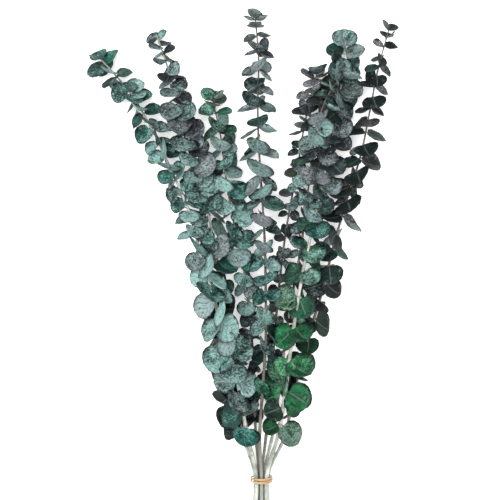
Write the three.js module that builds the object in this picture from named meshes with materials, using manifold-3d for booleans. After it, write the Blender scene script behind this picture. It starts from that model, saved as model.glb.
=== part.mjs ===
// Bunch of dried eucalyptus lying on a surface, in millimetres, +Z up.
// The cut ends point along -Y and the tips along +Y. The origin is under the middle of the bunch,
// on the surface that it lies on.
import * as THREE from 'three';
import { mergeVertices } from 'three/addons/utils/BufferGeometryUtils.js';
import Module from 'manifold-3d';

const wasm = await Module();
wasm.setup();

const radians = THREE.MathUtils.degToRad;
const lerp = THREE.MathUtils.lerp;

// The rubber band that ties the stems, and where the stems sit in it.
const TIE = { x: 12, y: -240, z: 12.2, inner: 10.4, outer: 12.2, width: 6 };
const PACKING_RADIUS = 6.6;      // seven stems in a ring round the eighth
const END_SPREAD = 2.6;          // how much wider the cut ends stand than the stems in the band
const CUT_ANGLE = 0.9;           // rise of the slanted cut, as a part of the stem's width

// Each stem: its place in the band (degrees round it, or none for the middle one), the y of its cut
// end, and its thickness at the cut end and at the tip. Then the y and the turn of its first pair of
// leaves, and what changes in even steps from that pair to the tip: the distance between pairs, the
// length of a leaf, and how far the leaves turn to face up. Between the two y values of bare, the leaf
// on the upper side of each pair has fallen. Last is the route from above the band to the tip.
const STEMS = [
  {
    name: 'front_left', colour: '#6f9c90', slot: 141, cut: -362, thick: [4.8, 1.5],
    first: -180, turn: 86, pitch: [18.6, 9, 8], leaf: [25, 27, 24, 17, 21, 20],
    open: [50, 52], bare: null,
    route: [[-4, -184, 34], [-13, -131, 46], [-26, -87, 52], [-38, -42, 52], [-51, 0, 46],
      [-62, 39, 38], [-80, 80, 30], [-100, 122, 24], [-125, 164, 18], [-160, 204, 14]],
  },
  {
    name: 'front_right', colour: '#3f8560', slot: 39, cut: -368, thick: [5.2, 1.6],
    first: -178, turn: 20, pitch: [18.6, 12.2, 8], leaf: [26, 27, 24, 21, 24, 23],
    open: [50, 52], bare: [-98, 22],
    route: [[29, -190, 30], [36, -142, 42], [41, -100, 48], [47, -60, 48], [54, -20, 43], [65, 27, 36],
      [73, 62, 30], [82, 100, 24], [90, 142, 18], [96, 178, 15], [100, 218, 12]],
  },
  {
    name: 'centre', colour: '#4b6a66', slot: 90, cut: -354, thick: [4.0, 1.3],
    first: -152, turn: 5, pitch: [20, 14, 7.6], leaf: [22, 20, 20, 25, 20, 15],
    open: [46, 16], bare: null,
    route: [[10, -190, 30], [13, -142, 38], [16, -90, 42], [16, -40, 42], [15, 10, 38], [12, 60, 32],
      [9, 110, 26], [8, 155, 20], [9, 200, 15], [5, 249, 12]],
  },
  {
    name: 'left', colour: '#56686a', slot: 193, cut: -372, thick: [5.0, 1.4],
    first: -184, turn: 38, pitch: [17.6, 10.4, 7.6], leaf: [26, 26, 24, 23, 23, 14],
    open: [48, 46], bare: [14, 48],
    route: [[-9, -189, 20], [-20, -140, 26], [-27, -95, 27], [-31, -50, 27], [-36, -2, 26],
      [-44, 42, 26], [-56, 84, 24], [-68, 126, 22], [-80, 172, 19], [-98, 226, 14]],
  },
  {
    name: 'far_right', colour: '#4a4f55', slot: 347, cut: -358, thick: [4.4, 1.2],
    first: -172, turn: 78, pitch: [22, 17, 9], leaf: [22, 22, 24, 26, 20, 13],
    open: [42, 32], bare: null,
    route: [[36, -195, 16], [46, -148, 20], [55, -110, 22], [66, -72, 24], [76, -38, 24], [87, 6, 24],
      [101, 54, 22], [115, 98, 20], [125, 145, 17], [134, 189, 14], [147, 236, 11]],
  },
  {
    name: 'mid_left', colour: '#3d7d66', slot: 244, cut: -352, thick: [3.8, 1.4],
    first: -172, turn: 20, pitch: [19, 13, 9], leaf: [16, 15, 17, 22, 22, 18],
    open: [46, 48], bare: null,
    route: [[6, -192, 14], [4, -145, 17], [2, -95, 19], [-2, -50, 20], [-8, -10, 22], [-18, 35, 22],
      [-25, 75, 20], [-30, 115, 17], [-40, 162, 13]],
  },
  {
    name: 'inner_right', colour: '#4c5356', slot: 296, cut: -366, thick: [4.2, 1.4],
    first: -134, turn: 8, pitch: [20, 12, 8.6], leaf: [17, 16, 16, 17, 21, 21],
    open: [40, 46], bare: null,
    route: [[24, -190, 18], [31, -140, 22], [37, -90, 24], [44, -45, 26], [52, 0, 28], [58, 45, 30],
      [63, 90, 32], [70, 132, 32], [82, 162, 30], [99, 183, 26]],
  },
  {
    name: 'mid_right', colour: '#454b50', slot: null, cut: -356, thick: [3.8, 1.3],
    first: -160, turn: 80, pitch: [20, 12, 9], leaf: [15, 14, 13, 14, 17, 17],
    open: [34, 20], bare: null,
    route: [[17, -190, 20], [21, -140, 22], [25, -95, 22], [29, -50, 22], [34, -4, 22], [41, 42, 22],
      [49, 82, 20], [54, 115, 18], [61, 150, 15], [71, 189, 12]],
  },
];

// How the leaves stand on a stem.
const LAST_PAIR = 0.99;          // the youngest pair, as a part of the stem's length
const LOOSE_PAIRS = 3;           // the lowest pairs are pieces of their own
const JOINT_GAP = 0.3;           // between a loose leaf and its stem
const ROOT_CLEAR = 0.5;          // how far out of the bark a leaf has its room to itself
const LEAF_THICKNESS = 0.8;
const LEAF_CUP = 0.07;           // depth of the cup, as a part of the leaf's length
const BREADTH = { low: 1.28, high: 1.12 };  // low on a stem and at its tip, as a part of the length
const LENGTH_SCATTER = 0.12;     // how far leaves differ from their neighbours, as a part of the size
const BREADTH_SCATTER = 0.06;
const OPEN_SCATTER = 22;         // and in degrees: how far they face up, and their place round the stem
const PAIR_SCATTER = 14;
// Degrees back towards the cut end, with how much more the leaves on the upper side have at the tip.
const DROOP = { low: 47, high: 20, scatter: 18, upper: 30 };
const TIP_RISE = { from: 0.93, by: 65 };    // the youngest pairs close round the tip, in degrees
const UPPER_SIDE = 0.5;          // a leaf counts as on the upper side from this rise off level
const SURFACE_GAP = 0.2;         // between the lowest leaves and the surface
// A leaf that lies on the surface: its steepest fall, its steepest rise, and how much cup it keeps.
const PRESSED = { fall: -0.96, rise: 0.2, cup: 0.6 };

// Half of a leaf's outline, from the root to the tip: parts of its length and of its breadth.
const OUTLINE = [[0, 0], [0.2, 0.4], [0.66, 0.48], [1, 0]];
const LOOSE_OUTLINE = [[0, 0], [0.08, 0.16], [0.24, 0.42], [0.52, 0.5], [0.82, 0.37], [1, 0]];

// The fineness of the solids.
const STEM_SIDES = 5;
const STEM_STEPS = 32;
const BAND_SIDES = 20;
const BAND_RIM_STEPS = 2;
const FINEST_DETAIL = 0.05;      // smaller steps where a leaf meets the bark are smoothed out
const SEARCH_STEP = 0.002;       // the first pair is placed to this part of the stem's length

// The ways that a crowded leaf may give room to its neighbours, tried in this order: a turn round the
// stem, more droop, and a smaller blade.
const YIELDS = [
  [0, 0, 1], [22, 0, 1], [-22, 0, 1], [0, 18, 1], [0, -18, 1], [38, 8, 0.94], [-38, 8, 0.94],
  [12, -30, 0.9], [-12, 30, 0.9], [0, 0, 0.82], [22, -15, 0.82], [-22, -15, 0.82],
  [58, 20, 0.78], [-58, 20, 0.78], [20, 45, 0.84], [-20, 45, 0.84], [80, 0, 0.8], [-80, 0, 0.8],
  [0, 34, 0.72], [40, -45, 0.76], [-40, -45, 0.76], [90, 30, 0.68], [-90, 30, 0.68],
  [0, -60, 0.68], [30, -30, 0.62], [-30, -30, 0.62],
];

// A repeatable number from -1 to 1 for one draw of one leaf.
function scatter(stem, leaf, draw) {
  const wave = Math.sin(stem * 127.1 + leaf * 311.7 + draw * 74.7) * 43758.5453;
  return (wave - Math.floor(wave)) * 2 - 1;
}

// The value at part f of a row of evenly spaced stations.
function along(stations, f) {
  const place = Math.min(Math.max(f, 0), 1) * (stations.length - 1);
  const i = Math.min(Math.floor(place), stations.length - 2);
  return lerp(stations[i], stations[i + 1], place - i);
}

function toSolid(geometry) {
  geometry.deleteAttribute('normal');
  geometry.deleteAttribute('uv');
  const merged = mergeVertices(geometry, 1e-4);
  return new wasm.Manifold(new wasm.Mesh({
    numProp: 3,
    vertProperties: new Float32Array(merged.attributes.position.array),
    triVerts: new Uint32Array(merged.index.array),
  }));
}

function toGeometry(solid) {
  const mesh = solid.getMesh();
  const geometry = new THREE.BufferGeometry();
  geometry.setAttribute('position', new THREE.BufferAttribute(mesh.vertProperties, 3));
  geometry.setIndex(new THREE.BufferAttribute(mesh.triVerts, 1));
  geometry.computeVertexNormals();
  return geometry;
}

// The centre line of a stem, from its cut end through the band to its tip.
function stemPath(stem) {
  const angle = radians(stem.slot ?? 0);
  const reach = stem.slot === null ? 0 : PACKING_RADIUS;
  const aside = reach * Math.cos(angle);
  const above = reach * Math.sin(angle);
  const points = [
    [TIE.x + aside * END_SPREAD, stem.cut, TIE.z + above],
    [TIE.x + aside * (1 + END_SPREAD) / 2, (stem.cut + TIE.y) / 2, TIE.z + above],
    [TIE.x + aside, TIE.y, TIE.z + above],
    ...stem.route,
  ].map((p) => new THREE.Vector3(...p));
  return new THREE.CatmullRomCurve3(points, false, 'catmullrom', 0.5);
}

const thicknessAt = (stem, u) => lerp(stem.thick[0], stem.thick[1], u);

// A tapering round stem, its lower end cut on a slant.
function stemSolid(stem, path, spare = 0) {
  const steps = STEM_STEPS;
  const section = new THREE.Shape(Array.from({ length: STEM_SIDES }, (_, i) => {
    const angle = i / STEM_SIDES * 2 * Math.PI;
    return new THREE.Vector2(Math.cos(angle), Math.sin(angle));
  }));
  const geometry = new THREE.ExtrudeGeometry(section, { steps, extrudePath: path, bevelEnabled: false });
  const centres = path.getSpacedPoints(steps);
  const position = geometry.attributes.position;
  const point = new THREE.Vector3();
  for (let i = 0; i < position.count; i += 1) {
    point.fromBufferAttribute(position, i);
    let ring = 0;
    for (let k = 1; k <= steps; k += 1) {
      if (point.distanceTo(centres[k]) < point.distanceTo(centres[ring])) ring = k;
    }
    point.sub(centres[ring]).multiplyScalar(thicknessAt(stem, ring / steps) / 2 + spare);
    if (ring === 0) point.y += CUT_ANGLE * point.z;
    point.add(centres[ring]);
    position.setXYZ(i, point.x, point.y, point.z);
  }
  return toSolid(geometry);
}

// Where one leaf grows, which way it points and faces, and how large it is.
function leafPose(stem, s, leaf, [turn, droopMore, scale]) {
  const { u, f, pair, side, centre, tangent } = leaf;
  const k = pair * 2 + side;
  const upward = new THREE.Vector3(0, 0, 1).addScaledVector(tangent, -tangent.z).normalize();
  const sideways = new THREE.Vector3().crossVectors(tangent, upward);
  const angle = radians(stem.turn + pair * 90 + side * 180 + PAIR_SCATTER * scatter(s, k, 1) + turn);
  const outward = new THREE.Vector3().addScaledVector(sideways, Math.cos(angle))
    .addScaledVector(upward, Math.sin(angle));
  const rise = TIP_RISE.by * Math.max(0, (f - TIP_RISE.from) / (1 - TIP_RISE.from));
  const upper = DROOP.upper * f * Math.max(0, Math.sin(angle));
  const droop = radians(lerp(DROOP.low, DROOP.high, f) + upper + DROOP.scatter * scatter(s, k, 2)
    + droopMore - rise);
  const direction = outward.clone().multiplyScalar(Math.cos(droop))
    .addScaledVector(tangent, -Math.sin(droop));
  const level = outward.clone().multiplyScalar(Math.sin(droop))
    .addScaledVector(tangent, Math.cos(droop));
  const across = new THREE.Vector3().crossVectors(direction, level);
  const twist = radians(along(stem.open, f) + OPEN_SCATTER * scatter(s, k, 3))
    * (across.z < 0 ? -1 : 1);
  const normal = level.multiplyScalar(Math.cos(twist)).addScaledVector(across, Math.sin(twist));
  const length = along(stem.leaf, f) * (1 + LENGTH_SCATTER * scatter(s, k, 4)) * scale;
  const breadth = length * lerp(BREADTH.low, BREADTH.high, f)
    * (1 + BREADTH_SCATTER * scatter(s, k, 5));
  const loose = pair < LOOSE_PAIRS;
  const start = loose ? thicknessAt(stem, u) / 2 + JOINT_GAP : 0;
  const pose = { centre, direction, normal, length, breadth, start, root: 0, loose };
  if (lowestZ(pose) < SURFACE_GAP) layFlat(pose);
  return pose;
}

// A point of the leaf: part x of its length, part y of its breadth, and a height off its face.
function leafPoint(pose, x, y, height) {
  const side = new THREE.Vector3().crossVectors(pose.normal, pose.direction);
  return pose.centre.clone()
    .addScaledVector(pose.direction, pose.start + x * pose.length)
    .addScaledVector(side, y * pose.breadth)
    .addScaledVector(pose.normal, height);
}

// The points round the edge, from the root. A root moved out leaves the rest of the edge as it is.
function outlinePoints(pose) {
  const half = (pose.loose ? LOOSE_OUTLINE : OUTLINE).slice(1);
  const back = half.slice(0, -1).reverse().map(([x, y]) => [x, -y]);
  return [[pose.root / pose.length, 0], ...half, ...back].map(([x, y]) => leafPoint(pose, x, y, 0));
}

function lowestZ(pose) {
  const middle = leafPoint(pose, 0.5, 0, -LEAF_CUP * pose.length - LEAF_THICKNESS / 2);
  return Math.min(middle.z, ...outlinePoints(pose).slice(1).map((p) => p.z));
}

// A leaf that would reach through the surface is pressed flat on it by the bunch's weight.
function layFlat(pose) {
  const rest = SURFACE_GAP + LEAF_THICKNESS / 2 + LEAF_CUP * pose.length * PRESSED.cup;
  const reach = pose.start + pose.length;
  const fall = Math.max(PRESSED.fall, Math.min(PRESSED.rise, (rest - pose.centre.z) / reach));
  const flat = new THREE.Vector3(pose.direction.x, pose.direction.y, 0).normalize();
  pose.direction = flat.multiplyScalar(Math.sqrt(1 - fall * fall)).setZ(fall);
  pose.normal = new THREE.Vector3(0, 0, 1).addScaledVector(pose.direction, -fall).normalize();
}

// A thin cupped blade: its outline joined to one point above and one below the middle.
function leafSolid(pose, spare = 0) {
  const grown = { ...pose, length: pose.length + spare, breadth: pose.breadth + 2 * spare };
  const outline = outlinePoints(grown);
  const cup = -LEAF_CUP * pose.length;
  const top = leafPoint(pose, 0.5, 0, cup + LEAF_THICKNESS / 2 + spare);
  const bottom = leafPoint(pose, 0.5, 0, cup - LEAF_THICKNESS / 2 - spare);
  const points = [...outline, top, bottom];
  const count = outline.length;
  const faces = [];
  for (let i = 0; i < count; i += 1) {
    const next = (i + 1) % count;
    faces.push(next, i, count, i, next, count + 1);
  }
  const geometry = new THREE.BufferGeometry().setFromPoints(points);
  geometry.setIndex(faces);
  return toSolid(geometry);
}

function hasFallen(stem, y, pair, side) {
  if (!stem.bare || y < stem.bare[0] || y > stem.bare[1]) return false;
  return Math.sin(radians(stem.turn + pair * 90 + side * 180)) > UPPER_SIDE;
}

// Every leaf that a stem carries, in opposite pairs, before any gives room to its neighbours.
function leafPlaces(stem, path) {
  const length = path.getLength();
  let start = 0;
  while (path.getPointAt(start).y < stem.first) start += SEARCH_STEP;
  const places = [];
  for (let u = start, pair = 0; u <= LAST_PAIR; pair += 1) {
    const f = (u - start) / (LAST_PAIR - start);
    const centre = path.getPointAt(u);
    for (const side of [0, 1]) {
      if (hasFallen(stem, centre.y, pair, side)) continue;
      places.push({ u, f, pair, side, centre, tangent: path.getTangentAt(u) });
    }
    if (u === LAST_PAIR) break;
    u = Math.min(u + along(stem.pitch, f) / length, LAST_PAIR);
  }
  return places;
}

const boxesMeet = (a, b) => [0, 1, 2].every((i) => a.min[i] <= b.max[i] && b.min[i] <= a.max[i]);

const meet = (a, b) => boxesMeet(a.box, b.box) && !a.solid.intersect(b.solid).isEmpty();

const withBox = (solid) => ({ solid, box: solid.boundingBox() });

// The band: a ring with rounded edges, round the stems' axis.
function bandGeometry() {
  const rim = (TIE.outer - TIE.inner) / 2;
  const middle = TIE.inner + rim;
  const flat = TIE.width / 2 - rim;
  const profile = new THREE.Shape();
  profile.absarc(middle, flat, rim, 0, Math.PI, false);
  profile.absarc(middle, -flat, rim, Math.PI, 2 * Math.PI, false);
  const points = profile.getPoints(BAND_RIM_STEPS);
  points.push(points[0].clone());
  return new THREE.LatheGeometry(points, BAND_SIDES).translate(TIE.x, 0, 0);
}

const bunch = new THREE.Group();

function addPiece(name, geometry, colour, roughness) {
  const mesh = new THREE.Mesh(geometry, new THREE.MeshStandardMaterial({
    color: colour, roughness, metalness: 0,
  }));
  mesh.name = name;
  bunch.add(mesh);
  return mesh;
}

const paths = STEMS.map(stemPath);
const stemObstacles = STEMS.map((stem, s) => withBox(stemSolid(stem, paths[s], JOINT_GAP)));
const placed = [];

STEMS.forEach((stem, s) => {
  let body = stemSolid(stem, paths[s]);
  let loose = 0;
  for (const leaf of leafPlaces(stem, paths[s])) {
    for (const way of YIELDS) {
      const pose = leafPose(stem, s, leaf, way);
      const whole = withBox(leafSolid(pose, pose.loose ? 0 : JOINT_GAP / 2));
      const root = Math.max(0, thicknessAt(stem, leaf.u) / 2 + ROOT_CLEAR - pose.start);
      const blade = withBox(leafSolid({ ...pose, root }, JOINT_GAP / 2));
      const crowded = placed.some((other) => (other.s === s
        ? meet(blade, other.blade) : meet(whole, other.whole)))
        || stemObstacles.some((other, i) => (pose.loose || i !== s) && meet(whole, other));
      if (crowded) continue;
      placed.push({ s, whole, blade });
      if (pose.loose) {
        loose += 1;
        addPiece(`leaf_${stem.name}_${loose}`, toGeometry(leafSolid(pose)), stem.colour, 0.7);
      } else {
        body = body.add(leafSolid(pose));
      }
      break;
    }
  }
  addPiece(`stem_${stem.name}`, toGeometry(body.simplify(FINEST_DETAIL)), stem.colour, 0.75);
});

const band = addPiece('rubber_band', bandGeometry(), '#c9a877', 0.55);
band.position.set(0, TIE.y, TIE.z);

// The origin goes under the middle of the bunch, on the surface.
const extent = new THREE.Box3().setFromObject(bunch, true);
const middle = extent.getCenter(new THREE.Vector3());
bunch.position.set(-middle.x, -middle.y, -extent.min.z);
bunch.updateMatrixWorld(true);

export default bunch;
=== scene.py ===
"""Bunch of dried eucalyptus, lying on a pale surface.

Eight long stems with round, waxy leaves in opposite pairs, tied with a rubber band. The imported
model gives the place of the band and of every leaf. Lengths are in metres, but those of a name that
ends in MM, and those that STEMS gives, are in millimetres.
"""

import math

import bpy
import numpy as np
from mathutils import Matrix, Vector, kdtree


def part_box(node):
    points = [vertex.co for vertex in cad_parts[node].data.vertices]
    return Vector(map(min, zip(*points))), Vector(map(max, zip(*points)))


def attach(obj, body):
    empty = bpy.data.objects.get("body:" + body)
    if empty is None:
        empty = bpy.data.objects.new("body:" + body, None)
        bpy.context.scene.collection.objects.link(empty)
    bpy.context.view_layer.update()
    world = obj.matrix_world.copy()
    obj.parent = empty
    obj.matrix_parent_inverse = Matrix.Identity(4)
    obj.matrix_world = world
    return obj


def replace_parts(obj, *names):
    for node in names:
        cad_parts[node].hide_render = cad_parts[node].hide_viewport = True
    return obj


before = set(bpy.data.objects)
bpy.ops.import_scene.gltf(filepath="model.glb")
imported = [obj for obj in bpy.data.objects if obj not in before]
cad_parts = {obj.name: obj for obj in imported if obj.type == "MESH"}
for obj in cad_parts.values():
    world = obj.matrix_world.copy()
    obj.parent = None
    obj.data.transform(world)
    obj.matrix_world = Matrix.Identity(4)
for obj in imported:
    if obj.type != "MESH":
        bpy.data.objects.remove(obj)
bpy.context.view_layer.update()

# ---------------------------------------------------------------------------------------------
# The camera looks straight down on the bunch, from the distance that the fan is seen at when it
# stands upright. The middle of the view is a hand's breadth above the middle of the bunch.
# ---------------------------------------------------------------------------------------------
MM = 0.001
BAND_CENTRE_MM = np.array([12.0, -240.0, 12.2])      # the band's place in the stems' own measures
band_low, band_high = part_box("rubber_band")
SHIFT_MM = np.array((band_low + band_high) / 2) / MM - BAND_CENTRE_MM

CAMERA_HEIGHT = 0.95
VIEW_WIDTH = 0.517
MIDDLE_HEIGHT = 0.025
SENSOR_MM = 36.0

view_centre = Vector(SHIFT_MM) * MM
camera = bpy.data.objects.new("camera", bpy.data.cameras.new("camera"))
bpy.context.scene.collection.objects.link(camera)
camera.data.sensor_width = SENSOR_MM
camera.data.lens = SENSOR_MM * (CAMERA_HEIGHT - MIDDLE_HEIGHT) / VIEW_WIDTH
camera.location = (view_centre.x, view_centre.y, CAMERA_HEIGHT)
bpy.context.scene.camera = camera


# ---------------------------------------------------------------------------------------------
# The surface that the bunch lies on, a white table faintly lit from below, and soft studio light:
# one broad lamp overhead and to the left, a weaker one on the right, and a bright room all round.
# ---------------------------------------------------------------------------------------------
def shader(material):
    """The Principled shader of a new material."""
    material.use_nodes = True
    return material.node_tree.nodes["Principled BSDF"]


TABLE_HALF = 6.0
TABLE_GLOW = 0.42
ROOM_LIGHT = 0.62

quarters = ((-1, -1), (1, -1), (1, 1), (-1, 1))
table_corners = [(x * TABLE_HALF, y * TABLE_HALF, 0) for x, y in quarters]
floor_mesh = bpy.data.meshes.new("surface")
floor_mesh.from_pydata(table_corners, [], [(0, 1, 2, 3)])
surface = bpy.data.objects.new("surface", floor_mesh)
bpy.context.scene.collection.objects.link(surface)
surface_paint = bpy.data.materials.new("pale_surface")
paint = shader(surface_paint)
paint.inputs["Base Color"].default_value = (0.93, 0.93, 0.93, 1)
paint.inputs["Roughness"].default_value = 0.9
paint.inputs["Emission Color"].default_value = (1, 1, 1, 1)
paint.inputs["Emission Strength"].default_value = TABLE_GLOW
floor_mesh.materials.append(surface_paint)

room = bpy.data.worlds.new("room")
room.use_nodes = True
room_light = room.node_tree.nodes["Background"]
room_light.inputs["Color"].default_value = (1, 1, 1, 1)
room_light.inputs["Strength"].default_value = ROOM_LIGHT
bpy.context.scene.world = room
bpy.context.scene.view_settings.view_transform = "Standard"


def soft_lamp(name, place, size, power):
    """A square lamp that points at the middle of the bunch."""
    lamp = bpy.data.lights.new(name, "AREA")
    lamp.shape = "SQUARE"
    lamp.size = size
    lamp.energy = power
    holder = bpy.data.objects.new(name, lamp)
    holder.location = place
    holder.rotation_euler = (-Vector(place)).to_track_quat("-Z", "Y").to_euler()
    bpy.context.scene.collection.objects.link(holder)


soft_lamp("main_lamp", (-0.45, 0.3, 1.6), 1.3, 47)
soft_lamp("fill_lamp", (0.9, -0.8, 1.0), 1.2, 15)


# ---------------------------------------------------------------------------------------------
# The stems: eight shoots cut from the tree, woody and pale with wax low down and thin and dark at
# the tip. Each swells a little where a pair of leaves grows, and is cut on a slant at its foot.
# ---------------------------------------------------------------------------------------------
PACKING_RADIUS_MM = 6.6
END_SPREAD = 2.6
CUT_ANGLE = 0.9

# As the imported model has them, in millimetres and degrees: each stem's place in the band, as an
# angle round the middle one, the y of its cut end, its thickness at the foot and the tip, the y and
# the turn of its first pair of leaves, the distance between pairs, the length of the leaves, how far
# they turn to face up, and the route. A row of values runs from the foot of the stem to its tip.
STEMS = {
    "front_left": dict(
        slot=141, cut=-362, thick=(4.8, 1.5), first=-180, turn=86,
        pitch=(18.6, 9, 8), leaf=(25, 27, 24, 17, 21, 20), open=(50, 52),
        route=[(-4, -184, 34), (-13, -131, 46), (-26, -87, 52), (-38, -42, 52), (-51, 0, 46),
               (-62, 39, 38), (-80, 80, 30), (-100, 122, 24), (-125, 164, 18), (-160, 204, 14)]),
    "front_right": dict(
        slot=39, cut=-368, thick=(5.2, 1.6), first=-178, turn=20,
        pitch=(18.6, 12.2, 8), leaf=(26, 27, 24, 21, 24, 23), open=(50, 52),
        route=[(29, -190, 30), (36, -142, 42), (41, -100, 48), (47, -60, 48), (54, -20, 43),
               (65, 27, 36), (73, 62, 30), (82, 100, 24), (90, 142, 18), (96, 178, 15),
               (100, 218, 12)]),
    "centre": dict(
        slot=90, cut=-354, thick=(4.0, 1.3), first=-152, turn=5,
        pitch=(20, 14, 7.6), leaf=(22, 20, 20, 25, 20, 15), open=(46, 16),
        route=[(10, -190, 30), (13, -142, 38), (16, -90, 42), (16, -40, 42), (15, 10, 38),
               (12, 60, 32), (9, 110, 26), (8, 155, 20), (9, 200, 15), (5, 249, 12)]),
    "left": dict(
        slot=193, cut=-372, thick=(5.0, 1.4), first=-184, turn=38,
        pitch=(17.6, 10.4, 7.6), leaf=(26, 26, 24, 23, 23, 14), open=(48, 46),
        route=[(-9, -189, 20), (-20, -140, 26), (-27, -95, 27), (-31, -50, 27), (-36, -2, 26),
               (-44, 42, 26), (-56, 84, 24), (-68, 126, 22), (-80, 172, 19), (-98, 226, 14)]),
    "far_right": dict(
        slot=347, cut=-358, thick=(4.4, 1.2), first=-172, turn=78,
        pitch=(22, 17, 9), leaf=(22, 22, 24, 26, 20, 13), open=(42, 32),
        route=[(36, -195, 16), (46, -148, 20), (55, -110, 22), (66, -72, 24), (76, -38, 24),
               (87, 6, 24), (101, 54, 22), (115, 98, 20), (125, 145, 17), (134, 189, 14),
               (147, 236, 11)]),
    "mid_left": dict(
        slot=244, cut=-352, thick=(3.8, 1.4), first=-172, turn=20,
        pitch=(19, 13, 9), leaf=(16, 15, 17, 22, 22, 18), open=(46, 48),
        route=[(6, -192, 14), (4, -145, 17), (2, -95, 19), (-2, -50, 20), (-8, -10, 22),
               (-18, 35, 22), (-25, 75, 20), (-30, 115, 17), (-40, 162, 13)]),
    "inner_right": dict(
        slot=296, cut=-366, thick=(4.2, 1.4), first=-134, turn=8,
        pitch=(20, 12, 8.6), leaf=(17, 16, 16, 17, 21, 21), open=(40, 46),
        route=[(24, -190, 18), (31, -140, 22), (37, -90, 24), (44, -45, 26), (52, 0, 28),
               (58, 45, 30), (63, 90, 32), (70, 132, 32), (82, 162, 30), (99, 183, 26)]),
    "mid_right": dict(
        slot=None, cut=-356, thick=(3.8, 1.3), first=-160, turn=80,
        pitch=(20, 12, 9), leaf=(15, 14, 13, 14, 17, 17), open=(34, 20),
        route=[(17, -190, 20), (21, -140, 22), (25, -95, 22), (29, -50, 22), (34, -4, 22),
               (41, 42, 22), (49, 82, 20), (54, 115, 18), (61, 150, 15), (71, 189, 12)]),
}


def lerp(a, b, f):
    """The value at part f of the way from a to b."""
    return a + (b - a) * f


class Path:
    """A smooth line through a stem's points, measured in equal steps of length."""

    STEPS = 200

    def __init__(self, stem):
        angle = math.radians(stem["slot"] or 0)
        reach = 0 if stem["slot"] is None else PACKING_RADIUS_MM
        aside, above = reach * math.cos(angle), reach * math.sin(angle)
        x, y, z = BAND_CENTRE_MM
        points = [
            (x + aside * END_SPREAD, stem["cut"], z + above),
            (x + aside * (1 + END_SPREAD) / 2, (stem["cut"] + y) / 2, z + above),
            (x + aside, y, z + above),
            *stem["route"],
        ]
        points = np.array(points, float)
        self.points = np.vstack([2 * points[0] - points[1], points, 2 * points[-1] - points[-2]])
        samples = np.array([self.at(i / self.STEPS) for i in range(self.STEPS + 1)])
        steps = np.linalg.norm(np.diff(samples, axis=0), axis=1)
        self.lengths = np.concatenate([[0], np.cumsum(steps)])
        self.length = self.lengths[-1]

    def at(self, t):
        place = t * (len(self.points) - 3)
        i = min(int(place), len(self.points) - 4)
        w = place - i
        a, b, c, d = self.points[i:i + 4]
        start, end = (c - a) / 2, (d - b) / 2
        square, cube = 3 * (c - b) - 2 * start - end, 2 * (b - c) + start + end
        return b + w * (start + w * (square + w * cube))

    def even(self, u):
        return float(np.interp(u * self.length, self.lengths, np.linspace(0, 1, self.STEPS + 1)))

    def point(self, u):
        return self.at(self.even(u))

    def tangent(self, u):
        t = self.even(u)
        step = self.at(min(1, t + 1e-4)) - self.at(max(0, t - 1e-4))
        return step / np.linalg.norm(step)


def thickness(stem, u):
    return lerp(*stem["thick"], u)


class Field:
    """A value in a node tree. Plain arithmetic on it adds the Math nodes."""

    def __init__(self, tree, socket):
        self.tree, self.socket = tree, socket

    def _math(self, operation, *others):
        node = self.tree.nodes.new("ShaderNodeMath")
        node.operation = operation
        for socket, value in zip(node.inputs, (self, *others)):
            if isinstance(value, Field):
                self.tree.links.new(value.socket, socket)
            else:
                socket.default_value = value
        return Field(self.tree, node.outputs[0])

    def __add__(self, other):
        return self._math("ADD", other)

    def __sub__(self, other):
        return self._math("SUBTRACT", other)

    def __mul__(self, other):
        return self._math("MULTIPLY", other)

    def abs(self):
        return self._math("ABSOLUTE")

    def at_least(self, low):
        return self._math("MAXIMUM", low)

    def sine(self):
        return self._math("SINE")

    def step(self, low, high, to_low=0.0, to_high=1.0):
        """A smooth rise from to_low at low to to_high at high."""
        node = self.tree.nodes.new("ShaderNodeMapRange")
        node.interpolation_type = "SMOOTHSTEP"
        self.tree.links.new(self.socket, node.inputs["Value"])
        limits = {"From Min": low, "From Max": high, "To Min": to_low, "To Max": to_high}
        for name, value in limits.items():
            node.inputs[name].default_value = value
        return Field(self.tree, node.outputs["Result"])


def add_node(tree, kind, settings=None, **inputs):
    """A new node, with its settings, and with its inputs set or joined by name."""
    node = tree.nodes.new(kind)
    for name, value in (settings or {}).items():
        setattr(node, name, value)
    for name, value in inputs.items():
        socket = node.inputs[name.replace("_", " ")]
        if isinstance(value, Field):
            tree.links.new(value.socket, socket)
        elif isinstance(value, bpy.types.NodeSocket):
            tree.links.new(value, socket)
        else:
            socket.default_value = value
    return node


def attribute(tree, name, kind="FLOAT"):
    """A value that each point of the geometry has."""
    node = add_node(tree, "GeometryNodeInputNamedAttribute", {"data_type": kind}, Name=name)
    return Field(tree, node.outputs["Attribute"])


def moved(tree, geometry, direction, distance):
    """Geometry whose points go some distance along a direction of their own."""
    scaled = add_node(tree, "ShaderNodeVectorMath", {"operation": "SCALE"}, Scale=distance)
    tree.links.new(direction.socket, scaled.inputs[0])
    offset = scaled.outputs[0]
    return add_node(tree, "GeometryNodeSetPosition", Geometry=geometry, Offset=offset).outputs[0]


def new_tree(name, sizes, objects=()):
    """A Geometry Nodes tree with named sizes and objects to set, and its input and output nodes."""
    tree = bpy.data.node_groups.new(name, "GeometryNodeTree")
    tree.interface.new_socket("Geometry", in_out="INPUT", socket_type="NodeSocketGeometry")
    for size in sizes:
        tree.interface.new_socket(size, in_out="INPUT", socket_type="NodeSocketFloat")
    for thing in objects:
        tree.interface.new_socket(thing, in_out="INPUT", socket_type="NodeSocketObject")
    tree.interface.new_socket("Material", in_out="INPUT", socket_type="NodeSocketMaterial")
    tree.interface.new_socket("Geometry", in_out="OUTPUT", socket_type="NodeSocketGeometry")
    return tree, tree.nodes.new("NodeGroupInput").outputs, tree.nodes.new("NodeGroupOutput").inputs


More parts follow.
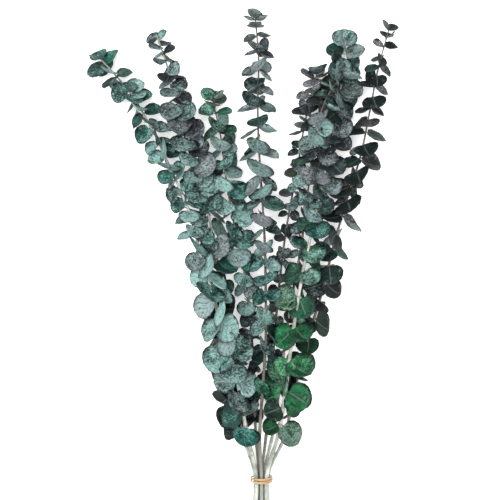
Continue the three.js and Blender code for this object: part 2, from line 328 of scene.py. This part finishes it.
def grown(name, seed_mesh, tree, **values):
    """The plain mesh that a tree makes of a mesh of points, as an object of its own."""
    carrier = bpy.data.objects.new(name, seed_mesh)
    bpy.context.scene.collection.objects.link(carrier)
    modifier = carrier.modifiers.new("grow", "NODES")
    modifier.node_group = tree
    for item in tree.interface.items_tree:
        key = item.name.replace(" ", "_").lower()
        if item.in_out == "INPUT" and key in values:
            modifier[item.identifier] = values[key]
    bpy.context.view_layer.update()
    depsgraph = bpy.context.evaluated_depsgraph_get()
    mesh = bpy.data.meshes.new_from_object(carrier.evaluated_get(depsgraph), depsgraph=depsgraph)
    mesh.name = name
    bpy.data.objects.remove(carrier)
    piece = bpy.data.objects.new(name, mesh)
    bpy.context.scene.collection.objects.link(piece)
    for face in mesh.polygons:
        face.use_smooth = True
    return piece


def seed_points(name, points, edges=(), **attributes):
    """A mesh of bare points in metres, each with its own values."""
    mesh = bpy.data.meshes.new(name)
    mesh.from_pydata([tuple(p) for p in points], list(edges), [])
    for key, values in attributes.items():
        values = np.array(values, float)
        kind, field = ("FLOAT_VECTOR", "vector") if values.ndim == 2 else ("FLOAT", "value")
        mesh.attributes.new(key, kind, "POINT").data.foreach_set(field, values.ravel())
    return mesh


STEM_SIDES = 12


def stem_tree():
    """A tube along a line of points, as thick as each point says, its foot cut on a slant."""
    tree, given, result = new_tree("stem_growth", ["Roughness", "Slant"])
    line = add_node(tree, "GeometryNodeMeshToCurve", Mesh=given["Geometry"]).outputs[0]
    height = add_node(tree, "GeometryNodeInputPosition").outputs[0]
    parts = add_node(tree, "ShaderNodeSeparateXYZ", Vector=height)
    kept = add_node(tree, "GeometryNodeStoreNamedAttribute", {"domain": "POINT"},
                    Geometry=line, Name="core_z", Value=parts.outputs["Z"]).outputs[0]
    ring = add_node(tree, "GeometryNodeCurvePrimitiveCircle", Resolution=STEM_SIDES, Radius=1.0)
    tube = add_node(tree, "GeometryNodeCurveToMesh", Curve=kept, Profile_Curve=ring.outputs[0],
                    Scale=attribute(tree, "radius"), Fill_Caps=True)
    ripple = add_node(tree, "ShaderNodeTexNoise", Scale=260.0, Detail=3.0)
    ripple = Field(tree, ripple.outputs["Fac"])
    outward = Field(tree, add_node(tree, "GeometryNodeInputNormal").outputs[0])
    rough = moved(tree, tube.outputs[0], outward, (ripple - 0.5) * Field(tree, given["Roughness"]))
    now = add_node(tree, "ShaderNodeSeparateXYZ",
                   Vector=add_node(tree, "GeometryNodeInputPosition").outputs[0])
    rise = (Field(tree, now.outputs["Z"]) - attribute(tree, "core_z")) * attribute(tree, "foot")
    slide = add_node(tree, "ShaderNodeCombineXYZ", Y=rise * Field(tree, given["Slant"]))
    cut = add_node(tree, "GeometryNodeSetPosition", Geometry=rough, Offset=slide.outputs[0])
    whole = add_node(tree, "GeometryNodeRealizeInstances", Geometry=cut.outputs[0]).outputs[0]
    done = add_node(tree, "GeometryNodeSetMaterial", Geometry=whole, Material=given["Material"])
    tree.links.new(done.outputs[0], result["Geometry"])
    return tree


def mixed(tree, factor, low, high):
    """A colour between two, which may be colours or fields of colour."""
    node = add_node(tree, "ShaderNodeMix", {"data_type": "RGBA"})
    tree.links.new(factor.socket, node.inputs[0])
    for socket, value in zip(node.inputs[6:8], (low, high)):
        if isinstance(value, Field):
            tree.links.new(value.socket, socket)
        else:
            socket.default_value = (*value, 1)
    return Field(tree, node.outputs[2])


def painted(tree, name, output="Fac"):
    """A value that each point of the piece has, for its material."""
    node = add_node(tree, "ShaderNodeAttribute", {"attribute_name": name})
    return Field(tree, node.outputs[output])


def noise(tree, scale, detail, roughness=0.5):
    """Noise in the piece's own coordinates, with so many bumps to a metre."""
    own = add_node(tree, "ShaderNodeTexCoord").outputs["Object"]
    node = add_node(tree, "ShaderNodeTexNoise", Vector=own, Scale=scale, Detail=detail,
                    Roughness=roughness)
    return Field(tree, node.outputs["Fac"])


def bumped(tree, height, strength, depth, surface_shader):
    """Gives the shader a relief."""
    node = add_node(tree, "ShaderNodeBump", Strength=strength, Distance=depth, Height=height)
    tree.links.new(node.outputs[0], surface_shader.inputs["Normal"])


def bark_material():
    """Waxy bark: pale below, brown above, with fine specks and darker rings at the leaf pairs."""
    material = bpy.data.materials.new("bark")
    surface_shader = shader(material)
    tree = material.node_tree
    height, ring, shade = (painted(tree, key) for key in ("height", "ring", "shade"))
    blotch = noise(tree, 90.0, 4.0)
    grain = noise(tree, 900.0, 3.0)
    pale = mixed(tree, blotch.step(0.35, 0.7), (0.21, 0.235, 0.195), (0.46, 0.49, 0.435))
    brown = mixed(tree, grain.step(0.3, 0.7), (0.034, 0.030, 0.026), (0.115, 0.100, 0.082))
    # Pale wax below, brown bark above; a stem's shade value moves where the brown begins, which on
    # the stems at the back of the bunch is partly painted shade.
    aged = mixed(tree, (height + shade + (blotch - 0.5) * 0.35).step(0.45, 0.95), pale, brown)
    ringed = mixed(tree, ring.step(0.35, 1.0, 0.0, 0.75), aged, (0.13, 0.09, 0.065))
    final = mixed(tree, grain.step(0.48, 0.72, 0.0, 0.6), ringed, (0.16, 0.13, 0.10))
    tree.links.new(final.socket, surface_shader.inputs["Base Color"])
    surface_shader.inputs["Roughness"].default_value = 0.62
    surface_shader.inputs["Specular IOR Level"].default_value = 0.35
    bumped(tree, grain + blotch * 0.6, 0.5, 0.0006, surface_shader)
    return material


def wood_material():
    """The cut end: pale wood with darker specks."""
    material = bpy.data.materials.new("cut_wood")
    surface_shader = shader(material)
    tree = material.node_tree
    speck = noise(tree, 1800.0, 2.0)
    cut = mixed(tree, speck.step(0.3, 0.75), (0.62, 0.50, 0.32), (0.40, 0.28, 0.16))
    tree.links.new(cut.socket, surface_shader.inputs["Base Color"])
    surface_shader.inputs["Roughness"].default_value = 0.85
    bumped(tree, speck, 0.6, 0.0004, surface_shader)
    return material


LAST_PAIR = 0.99                # the part of the stem's length at which the last pair grows
SEARCH_STEP = 0.002             # the first pair is placed to this part of the stem's length
BARE_INTERNODE_MM = 34          # between the scars of stripped leaves, below the lowest pair
LOWEST_SCAR_MM = 12             # the least distance of a scar from the cut end
STEM_STEP_MM = 1.9
SWELLING = 0.22                 # how much thicker the stem is at a pair of leaves
SWELLING_LENGTH_MM = 1.6
TIP_TAPER = 0.4
FOOT_LENGTH = 0.006             # a wide face nearer than this to the lowest point is the cut
BARK_ROUGHNESS = 0.0004

bark = bark_material()
cut_wood = wood_material()
growth = stem_tree()
paths = {name: Path(stem) for name, stem in STEMS.items()}


def along(stations, f):
    """The value at part f of a row of evenly spaced stations."""
    return float(np.interp(f, np.linspace(0, 1, len(stations)), stations))


def leaf_stations(stem, path):
    """The place of each pair of leaves: its part of the stem, and its part of the leafy length."""
    start = 0.0
    while path.point(start)[1] < stem["first"]:
        start += SEARCH_STEP
    stations = []
    u = start
    while not stations or stations[-1][0] < LAST_PAIR:
        f = (u - start) / (LAST_PAIR - start)
        stations.append((u, f))
        u = min(LAST_PAIR, u + along(stem["pitch"], f) / path.length)
    return stations


# How dark a stem is over its whole length, from -1 for pale to 1 for dark: partly the bark's own
# brown, partly painted shade that darkens the stems at the back of the bunch.
STEM_SHADE = {"front_left": -0.35, "front_right": -0.5, "centre": 0.5, "left": -0.4,
              "far_right": 0.35, "mid_left": 0.5, "inner_right": 0.2, "mid_right": 0.5}

for name, stem in STEMS.items():
    path = paths[name]
    pairs = [u * path.length for u, _ in leaf_stations(stem, path)]
    scars = np.arange(pairs[0] - BARE_INTERNODE_MM, LOWEST_SCAR_MM, -BARE_INTERNODE_MM)
    knots = np.array([*pairs, *scars])
    places = np.linspace(0, 1, int(path.length / STEM_STEP_MM))
    to_knot = np.array([np.min(np.abs(knots - u * path.length)) for u in places])
    nearness = np.exp(-to_knot / SWELLING_LENGTH_MM)
    radii = np.array([thickness(stem, u) / 2 for u in places]) * (1 + SWELLING * nearness)
    radii[-1] *= TIP_TAPER
    centre_line = np.array([path.point(u) + SHIFT_MM for u in places]) * MM
    seed = seed_points(
        f"line_{name}", centre_line, [(i, i + 1) for i in range(len(places) - 1)],
        radius=radii * MM, ring=nearness, height=places, foot=(places == 0).astype(float),
        shade=np.full(len(places), STEM_SHADE[name]),
    )
    piece = grown(f"bark_{name}", seed, growth, roughness=BARK_ROUGHNESS, slant=CUT_ANGLE,
                  material=bark)
    piece.data.materials.append(cut_wood)
    foot_y = centre_line[0][1]
    for face in piece.data.polygons:
        if len(face.vertices) > 4 and face.center.y < foot_y + FOOT_LENGTH:
            face.material_index = 1
            face.use_smooth = False
    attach(piece, "root")
    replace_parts(piece, f"stem_{name}")


# ---------------------------------------------------------------------------------------------
# The leaves: round, leathery and cupped, on a short stalk, in opposite pairs that turn a quarter
# from pair to pair. Preserved leaves keep their green or slate colour under a broken bloom of wax.
# ---------------------------------------------------------------------------------------------
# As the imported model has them: how its leaves grow, in degrees and parts of a leaf's length.
LOOSE_PAIRS = 3
JOINT_GAP_MM = 0.3
LEAF_THICKNESS_MM = 0.8
LEAF_CUP = 0.07
SURFACE_GAP_MM = 0.2
DROOP = dict(foot=47, tip=20, scatter=18, upper=30)
TIP_RISE = dict(start=0.93, angle=65)
PRESSED = dict(fall=-0.96, rise=0.2, cup=0.6)
OPEN_SCATTER = 22
PAIR_SCATTER = 14
LENGTH_SCATTER = 0.12
BREADTH = dict(foot=1.28, tip=1.12, scatter=0.06)
OUTLINE = [(0, 0), (0.2, 0.4), (0.66, 0.48), (1, 0)]
LOOSE_OUTLINE = [(0, 0), (0.08, 0.16), (0.24, 0.42), (0.52, 0.5), (0.82, 0.37), (1, 0)]

# How a crowded leaf may give room, tried in this order: turned, drooped, and its size.
YIELDS = [
    (0, 0, 1), (22, 0, 1), (-22, 0, 1), (0, 18, 1), (0, -18, 1), (38, 8, 0.94), (-38, 8, 0.94),
    (12, -30, 0.9), (-12, 30, 0.9), (0, 0, 0.82), (22, -15, 0.82), (-22, -15, 0.82),
    (58, 20, 0.78), (-58, 20, 0.78), (20, 45, 0.84), (-20, 45, 0.84), (80, 0, 0.8), (-80, 0, 0.8),
    (0, 34, 0.72), (40, -45, 0.76), (-40, -45, 0.76), (90, 30, 0.68), (-90, 30, 0.68),
    (0, -60, 0.68), (30, -30, 0.62), (-30, -30, 0.62),
]


def scatter(stem, leaf, draw):
    """A repeatable number from -1 to 1 for one draw of one leaf."""
    wave = math.sin(stem * 127.1 + leaf * 311.7 + draw * 74.7) * 43758.5453
    return (wave - math.floor(wave)) * 2 - 1


def unit(vector):
    """The same direction, of length 1."""
    return vector / np.linalg.norm(vector)


def leaf_point(pose, x, y, height=0.0):
    """A point of a leaf: x along it and y across it in parts of its size, and a height over it."""
    side = np.cross(pose["facing"], pose["direction"])
    return (pose["centre"] + pose["direction"] * (pose["start"] + x * pose["length"])
            + side * (y * pose["breadth"]) + pose["facing"] * height)


def lowest_z(pose):
    """How low a CAD leaf reaches."""
    half = (LOOSE_OUTLINE if pose["loose"] else OUTLINE)[1:]
    edge = half + [(x, -y) for x, y in half[:-1]]
    middle = leaf_point(pose, 0.5, 0, -LEAF_CUP * pose["length"] - LEAF_THICKNESS_MM / 2)
    return min(middle[2], *(leaf_point(pose, x, y)[2] for x, y in edge))


def lay_flat(pose):
    """A leaf that would reach through the surface is pressed flat on it by the bunch's weight."""
    rest = SURFACE_GAP_MM + LEAF_THICKNESS_MM / 2 + LEAF_CUP * pose["length"] * PRESSED["cup"]
    reach = pose["start"] + pose["length"]
    fall = max(PRESSED["fall"], min(PRESSED["rise"], (rest - pose["centre"][2]) / reach))
    flat = unit(pose["direction"] * (1, 1, 0)) * math.sqrt(1 - fall * fall)
    pose["direction"] = flat + np.array([0, 0, fall])
    pose["facing"] = unit(np.array([0, 0, 1]) - pose["direction"] * fall)


def leaf_pose(stem, s, place, way):
    """Where a leaf grows, the way that it points and faces, and its size, all in millimetres."""
    u, f, pair, side, centre, tangent = place
    turn, droop_more, scale = way
    k = pair * 2 + side
    upward = unit(np.array([0, 0, 1]) - tangent * tangent[2])
    sideways = np.cross(tangent, upward)
    angle = math.radians(stem["turn"] + pair * 90 + side * 180
                         + PAIR_SCATTER * scatter(s, k, 1) + turn)
    outward = sideways * math.cos(angle) + upward * math.sin(angle)
    rise = TIP_RISE["angle"] * max(0, (f - TIP_RISE["start"]) / (1 - TIP_RISE["start"]))
    upper = DROOP["upper"] * f * max(0, math.sin(angle))
    droop = math.radians(lerp(DROOP["foot"], DROOP["tip"], f) + upper
                         + DROOP["scatter"] * scatter(s, k, 2) + droop_more - rise)
    direction = outward * math.cos(droop) - tangent * math.sin(droop)
    level = outward * math.sin(droop) + tangent * math.cos(droop)
    across = np.cross(direction, level)
    twist = math.radians(along(stem["open"], f) + OPEN_SCATTER * scatter(s, k, 3))
    twist *= -1 if across[2] < 0 else 1
    length = along(stem["leaf"], f) * (1 + LENGTH_SCATTER * scatter(s, k, 4)) * scale
    breadth = lerp(BREADTH["foot"], BREADTH["tip"], f) * (1 + BREADTH["scatter"] * scatter(s, k, 5))
    pose = {
        "centre": centre, "direction": direction, "loose": pair < LOOSE_PAIRS, "length": length,
        "facing": level * math.cos(twist) + across * math.sin(twist),
        "breadth": length * breadth, "bark": thickness(stem, u) / 2, "f": f, "k": k,
    }
    pose["start"] = pose["bark"] + JOINT_GAP_MM if pose["loose"] else 0.0
    if lowest_z(pose) < SURFACE_GAP_MM:
        lay_flat(pose)
    return pose


def corner_finder(node):
    """Finds the nearest corner of a CAD node, in the stems' measures."""
    corners = [vertex.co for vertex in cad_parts[node].data.vertices]
    tree = kdtree.KDTree(len(corners))
    for i, corner in enumerate(corners):
        tree.insert(Vector(np.array(corner) / MM - SHIFT_MM), i)
    tree.balance()
    return tree


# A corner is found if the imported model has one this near. A joined leaf's tip may be buried in a
# neighbour, so its two widest corners are looked for too.
PLACE_TOLERANCE_MM = 0.1
TIP_CORNER = OUTLINE[3]
WIDE_CORNERS = [OUTLINE[2], (OUTLINE[2][0], -OUTLINE[2][1])]


def is_near(finder, pose, corners):
    """Whether a CAD node has one of these corners of a leaf."""
    return any(finder.find(Vector(leaf_point(pose, *corner)))[2] < PLACE_TOLERANCE_MM
               for corner in corners)


def standing_leaves(name, s):
    """The leaves that the CAD has on a stem, each in the way that it gave room to the others."""
    stem, path = STEMS[name], paths[name]
    on_stem = {f"stem_{name}": corner_finder(f"stem_{name}")}
    loose = {node: corner_finder(node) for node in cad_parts
             if node.startswith(f"leaf_{name}_") and node[len(f"leaf_{name}_"):].isdigit()}
    found = []
    for pair, (u, f) in enumerate(leaf_stations(stem, path)):
        for side in (0, 1):
            place = (u, f, pair, side, path.point(u), path.tangent(u))
            for way in YIELDS:
                pose = leaf_pose(stem, s, place, way)
                finders = loose if pose["loose"] else on_stem
                corners = [TIP_CORNER] + ([] if pose["loose"] else WIDE_CORNERS)
                near = [n for n, finder in finders.items() if is_near(finder, pose, corners)]
                if near:
                    pose["node"] = near[0]
                    found.append(pose)
                    break
    return found


STALK = [(0.0, 0.030), (0.06, 0.036)]        # places along the leaf, and half its breadth there
BLADE_ROWS = 7
BLADE_FOOT = 0.08
BLADE_TIP = 1.035
LOBE = 0.11                                  # how far the blade reaches back beside the stalk
EDGE_THINNING = 0.55


def blade_template():
    """A flat round leaf of unit size with a short stalk: two skins that meet at the edge."""
    rows = [*STALK]
    for i in range(1, BLADE_ROWS):
        turn = math.pi * i / BLADE_ROWS
        half = 0.5 * math.sin(turn) ** 0.8 * (1 + 0.12 * math.cos(turn))
        rows.append((BLADE_FOOT + (1 - BLADE_FOOT) * (1 - math.cos(turn)) / 2, half))
    last = len(rows) - 1
    columns = (-1, -0.55, 0, 0.55, 1)
    points, along, across, thick = [], [], [], []
    ids = {}

    def corner(row, column, skin):
        x, half = rows[row]
        if abs(columns[column]) == 1:
            skin = 0
        if (row, column, skin) not in ids:
            y = columns[column]
            ids[row, column, skin] = len(points)
            lobe = LOBE * y * y * max(0, 1 - x / 0.45) * (row >= len(STALK))
            points.append((x - lobe, half * y, 0))
            along.append(x)
            across.append(y)
            thick.append(skin * (1 - EDGE_THINNING * abs(y)))
        return ids[row, column, skin]

    def pole(x):
        points.append((x, 0, 0))
        along.append(x)
        across.append(0)
        thick.append(0)
        return len(points) - 1

    faces = []
    foot, tip = pole(-0.004), pole(BLADE_TIP)
    for skin in (1, -1):
        for c in range(len(columns) - 1):
            strip = []
            for r in range(last):
                strip.append([corner(r, c, skin), corner(r + 1, c, skin),
                              corner(r + 1, c + 1, skin), corner(r, c + 1, skin)])
            strip.append([foot, corner(0, c, skin), corner(0, c + 1, skin)])
            strip.append([corner(last, c, skin), tip, corner(last, c + 1, skin)])
            faces += [face if skin > 0 else face[::-1] for face in strip]
    mesh = bpy.data.meshes.new("blade")
    mesh.from_pydata(points, [], faces)
    for key, values in (("along", along), ("across", across), ("skin", thick)):
        mesh.attributes.new(key, "FLOAT", "POINT").data.foreach_set("value", values)
    template = bpy.data.objects.new("blade", mesh)
    bpy.context.scene.collection.objects.link(template)
    return template


FOLD_MIDDLE = 0.4               # the fold turns about this part of the way out to the edge


def leaf_tree():
    """A blade on every point, turned and sized as the point says, then cupped, curled and waved."""
    tree, given, result = new_tree("leaf_growth", ["Thickness", "Wave", "Surface gap"], ["Blade"])
    blade = add_node(tree, "GeometryNodeObjectInfo", Object=given["Blade"]).outputs["Geometry"]
    facing = attribute(tree, "facing", "FLOAT_VECTOR")
    turn = add_node(tree, "FunctionNodeAxesToRotation",
                    {"primary_axis": "X", "secondary_axis": "Z"})
    tree.links.new(attribute(tree, "direction", "FLOAT_VECTOR").socket, turn.inputs[0])
    tree.links.new(facing.socket, turn.inputs[1])
    copies = add_node(tree, "GeometryNodeInstanceOnPoints", Points=given["Geometry"],
                      Instance=blade, Rotation=turn.outputs[0],
                      Scale=attribute(tree, "size", "FLOAT_VECTOR"))
    whole = add_node(tree, "GeometryNodeRealizeInstances", Geometry=copies.outputs[0]).outputs[0]
    along, across = attribute(tree, "along"), attribute(tree, "across")
    length, phase = attribute(tree, "length"), attribute(tree, "phase")
    rim = across * across
    belly = (along * math.pi).sine().abs()
    wavy = (along * 11 + phase).sine() + (across * 5 + phase * 1.7).sine()
    lift = (
        attribute(tree, "cup") * (rim - 1) * belly
        + attribute(tree, "fold") * (across.abs() - FOLD_MIDDLE) * belly
        + attribute(tree, "curl") * along * along
        + attribute(tree, "warp") * across * along
        + wavy * rim * Field(tree, given["Wave"]) * belly
    ) * length
    shell = attribute(tree, "skin") * Field(tree, given["Thickness"])
    bent = moved(tree, whole, facing, lift + shell)
    now = add_node(tree, "ShaderNodeSeparateXYZ",
                   Vector=add_node(tree, "GeometryNodeInputPosition").outputs[0])
    height = Field(tree, now.outputs["Z"]).at_least(shell * 0.5 + Field(tree, given["Surface gap"]))
    above = add_node(tree, "ShaderNodeCombineXYZ", X=now.outputs["X"], Y=now.outputs["Y"], Z=height)
    resting = add_node(tree, "GeometryNodeSetPosition", Geometry=bent, Position=above.outputs[0])
    done = add_node(tree, "GeometryNodeSetMaterial", Geometry=resting.outputs[0],
                    Material=given["Material"])
    tree.links.new(done.outputs[0], result["Geometry"])
    return tree


def leaf_material():
    """A leathery leaf under a broken bloom of wax, with a pale rib, a dark rim and faint veins."""
    material = bpy.data.materials.new("leaf")
    surface_shader = shader(material)
    tree = material.node_tree
    along, across, skin, phase, bloom = (
        painted(tree, key) for key in ("along", "across", "skin", "phase", "bloom"))
    tint, wax = painted(tree, "tint", "Color"), painted(tree, "wax", "Color")
    broad = noise(tree, 95.0, 2.0)
    crackle = noise(tree, 520.0, 4.0, roughness=0.72)
    speck = noise(tree, 330.0, 2.0)
    rib = across.abs().step(0.01, 0.08, 1.0, 0.0)
    veins = (along * 24 - across.abs() * 12 + phase + broad * 6).sine().step(0.7, 1.0)
    rim = across.abs().step(0.82, 1.0) + along.step(0.90, 1.03)
    frost = (broad * 0.8 + crackle * 1.2 + bloom - 1.2).step(0.0, 0.45)
    lightness = (broad * 0.7 + crackle * 0.9).step(0.62, 0.95, 0.15, 1.0)
    shaded = mixed(tree, lightness, (0.004, 0.008, 0.007), tint)
    frosted = mixed(tree, frost * crackle.step(0.36, 0.60, 0.62, 0.95), shaded, wax)
    veined = mixed(tree, veins * (frost * 0.35 + 0.1), frosted, (0.030, 0.055, 0.048))
    ribbed = mixed(tree, rib * (frost * 0.15 + 0.16), veined, (0.36, 0.46, 0.41))
    rimmed = mixed(tree, rim * 0.6, ribbed, (0.030, 0.034, 0.030))
    spotted = mixed(tree, speck.step(0.62, 0.70) * 0.8, rimmed, (0.010, 0.014, 0.012))
    dusty = mixed(tree, frost * 0.35 + 0.20, spotted, (0.21, 0.28, 0.27))
    final = mixed(tree, skin.step(-0.2, 0.2), dusty, spotted)
    tree.links.new(final.socket, surface_shader.inputs["Base Color"])
    roughness = crackle.step(0.3, 0.7, 0.42, 0.70)
    tree.links.new(roughness.socket, surface_shader.inputs["Roughness"])
    surface_shader.inputs["Specular IOR Level"].default_value = 0.16
    relief = crackle * 0.8 + broad * 0.6 + rib * 0.6 - veins * 0.3
    bumped(tree, relief, 0.7, 0.0010, surface_shader)
    return material


SLATE, TEAL, GREEN = (0.024, 0.027, 0.032), (0.012, 0.088, 0.070), (0.008, 0.112, 0.038)
# BLACK on the lowest and back leaves in LEAF_LOOKS is painted shade, for the deep shade among the
# crowded leaves.
BLACK, MAUVE, OLIVE = (0.005, 0.009, 0.009), (0.056, 0.047, 0.061), (0.046, 0.052, 0.022)
TEAL_WAX = (0.245, 0.405, 0.382)
MAUVE_WAX = (0.232, 0.234, 0.258)
GREEN_WAX = (0.130, 0.330, 0.185)

# What shows at even heights of a stem, from its lowest leaves to its tip: the leaf's colour under
# its bloom, how much bloom is left on it, and the colour of the bloom. The near-black tints with
# little or no bloom, low on left, mid_left, inner_right and mid_right and all along far_right, are
# painted shade for the deep shade among the crowded leaves near the band and at the back; the
# dark slate and thin bloom higher on inner_right and mid_right are partly their own colour and
# partly painted shade.
LEAF_LOOKS = {
    "front_left": [(TEAL, 0.30, TEAL_WAX), (TEAL, 0.62, TEAL_WAX), (TEAL, 0.46, TEAL_WAX),
                   (TEAL, 0.38, TEAL_WAX), (TEAL, 0.24, TEAL_WAX)],
    "front_right": [(GREEN, 0.16, GREEN_WAX), (GREEN, 0.20, GREEN_WAX), (TEAL, 0.22, TEAL_WAX),
                    (SLATE, 0.34, MAUVE_WAX), (TEAL, 0.28, TEAL_WAX)],
    "centre": [(TEAL, 0.20, TEAL_WAX), (TEAL, 0.48, TEAL_WAX), (SLATE, 0.32, MAUVE_WAX)],
    "left": [(BLACK, -0.04, MAUVE_WAX), (BLACK, 0.18, MAUVE_WAX), (TEAL, 0.42, TEAL_WAX),
             (MAUVE, 0.34, TEAL_WAX), (SLATE, 0.26, TEAL_WAX)],
    "far_right": [(BLACK, 0.00, MAUVE_WAX), (BLACK, 0.12, MAUVE_WAX), (BLACK, 0.16, MAUVE_WAX)],
    "mid_left": [(BLACK, -0.06, MAUVE_WAX), (BLACK, 0.24, TEAL_WAX), (TEAL, 0.40, TEAL_WAX),
                 (TEAL, 0.40, TEAL_WAX), (GREEN, 0.24, TEAL_WAX)],
    "inner_right": [(BLACK, 0.04, MAUVE_WAX), (SLATE, 0.30, TEAL_WAX), (SLATE, 0.36, TEAL_WAX)],
    "mid_right": [(BLACK, -0.04, MAUVE_WAX), (SLATE, 0.20, TEAL_WAX), (SLATE, 0.30, MAUVE_WAX)],
}
ODD_TINTS = (MAUVE, TEAL, GREEN, SLATE, OLIVE, BLACK)
ODD_SHARE = 0.8
TINT_SCATTER, WAX_SCATTER, BLOOM_SCATTER = 0.5, 0.25, 0.24

leaf_skin = leaf_material()
blade = blade_template()
unfolding = leaf_tree()


def leaf_colours(name, s, pose):
    """The colour of a leaf, that of its bloom, and how much bloom it has; on the lowest and back
    leaves these are partly painted shade.
    """
    f, k = pose["f"], pose["k"]
    looks = [[np.array(value) for value in look] for look in LEAF_LOOKS[name]]
    place = f * (len(looks) - 1)
    i = min(int(place), len(looks) - 2)
    tint, bloom, wax = (lerp(low, high, place - i) for low, high in zip(looks[i], looks[i + 1]))
    odd = np.array(ODD_TINTS[int((scatter(s, k, 11) + 1) / 2 * 5.999)])
    tint = lerp(tint, odd, max(0.0, scatter(s, k, 12)) ** 1.5 * ODD_SHARE)
    wax = lerp(wax, np.array(MAUVE_WAX), max(0.0, scatter(s, k, 15)))
    return {
        "tint": tint * (1 + TINT_SCATTER * scatter(s, k, 13)),
        "wax": wax * (1 + WAX_SCATTER * scatter(s, k, 16)),
        "bloom": bloom + BLOOM_SCATTER * scatter(s, k, 14),
    }


CUP_SCATTER = 0.6
FOLD = (0.17, 0.15)             # the middle of it, and its scatter
CURL = 0.08
WARP = 0.08
BLADE_THICKNESS = 0.0002
BLADE_WAVE = 0.018
BLADE_SURFACE_GAP = 0.0003
ROOTED_MM = 0.3                 # how deep in the bark a joined leaf's stalk begins


def leaf_values(name, s, pose):
    """What the leaf tree and the leaf material need to know of one leaf."""
    k = pose["k"]
    rooted = pose["start"] if pose["loose"] else pose["bark"] - ROOTED_MM
    length = pose["start"] + pose["length"] - rooted
    return rooted, {
        "direction": pose["direction"],
        "facing": pose["facing"],
        "size": (length / BLADE_TIP * MM, pose["breadth"] * MM, 1),
        "length": pose["length"] * MM,
        "cup": LEAF_CUP * (1 + CUP_SCATTER * scatter(s, k, 6)),
        "fold": FOLD[0] + FOLD[1] * scatter(s, k, 7),
        "curl": CURL * scatter(s, k, 8),
        "warp": WARP * scatter(s, k, 9),
        "phase": 3 + 3 * scatter(s, k, 10),
        **leaf_colours(name, s, pose),
    }


def leaf_piece(piece_name, name, s, poses):
    """One mesh for these leaves of a stem."""
    roots, leaves = [], []
    for pose in poses:
        rooted, values = leaf_values(name, s, pose)
        roots.append((pose["centre"] + pose["direction"] * rooted + SHIFT_MM) * MM)
        leaves.append(values)
    columns = {key: [values[key] for values in leaves] for key in leaves[0]}
    seed = seed_points(f"roots_{piece_name}", roots, **columns)
    piece = grown(piece_name, seed, unfolding, thickness=BLADE_THICKNESS, wave=BLADE_WAVE,
                  surface_gap=BLADE_SURFACE_GAP, blade=blade, material=leaf_skin)
    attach(piece, "root")
    return piece


for s, name in enumerate(STEMS):
    poses = standing_leaves(name, s)
    joined = [pose for pose in poses if not pose["loose"]]
    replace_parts(leaf_piece(f"leaves_{name}", name, s, joined), f"stem_{name}")
    for pose in poses:
        if pose["loose"]:
            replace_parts(leaf_piece(f"{pose['node']}_blade", name, s, [pose]), pose["node"])
bpy.data.objects.remove(blade)


# ---------------------------------------------------------------------------------------------
# The rubber band: one loop of tan rubber, wound round the stems several times just below the
# lowest leaves. Its own pull keeps the windings tight and the stems together.
# ---------------------------------------------------------------------------------------------
rubber = bpy.data.materials.new("rubber")
rubber_shader = shader(rubber)
tree = rubber.node_tree
rub = noise(tree, 300.0, 3.0)
rubber_colour = mixed(tree, rub.step(0.3, 0.7), (0.36, 0.22, 0.10), (0.46, 0.30, 0.15))
tree.links.new(rubber_colour.socket, rubber_shader.inputs["Base Color"])
rubber_shader.inputs["Roughness"].default_value = 0.5
bumped(tree, rub, 0.3, 0.0003, rubber_shader)

BAND_TURNS = 4
BAND_POINTS = 240
BAND_THICKNESS_MM = 1.3
BAND_RADIUS_MM = 10.9
BAND_OUT_MM = 0.62              # how far the windings stand from the middle one, outward
BAND_ASIDE_MM = 2.25            # and along the stems
BAND_SWAY_MM = 0.12
BAND_ROUGHNESS = 0.00015

windings = []
for i in range(BAND_POINTS):
    t = 2 * math.pi * i / BAND_POINTS
    sway = BAND_SWAY_MM * math.sin(3 * t + 1)
    radius = BAND_RADIUS_MM + BAND_OUT_MM * math.sin(t) + sway
    windings.append((BAND_CENTRE_MM + SHIFT_MM + (
        radius * math.cos(BAND_TURNS * t),
        BAND_ASIDE_MM * math.cos(t) + sway,
        radius * math.sin(BAND_TURNS * t),
    )) * MM)
seed = seed_points(
    "band_line", windings, [(i, (i + 1) % BAND_POINTS) for i in range(BAND_POINTS)],
    radius=np.full(BAND_POINTS, BAND_THICKNESS_MM / 2 * MM), foot=np.zeros(BAND_POINTS),
)
band = grown("wound_band", seed, growth, roughness=BAND_ROUGHNESS, slant=0.0, material=rubber)
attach(band, "root")
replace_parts(band, "rubber_band")
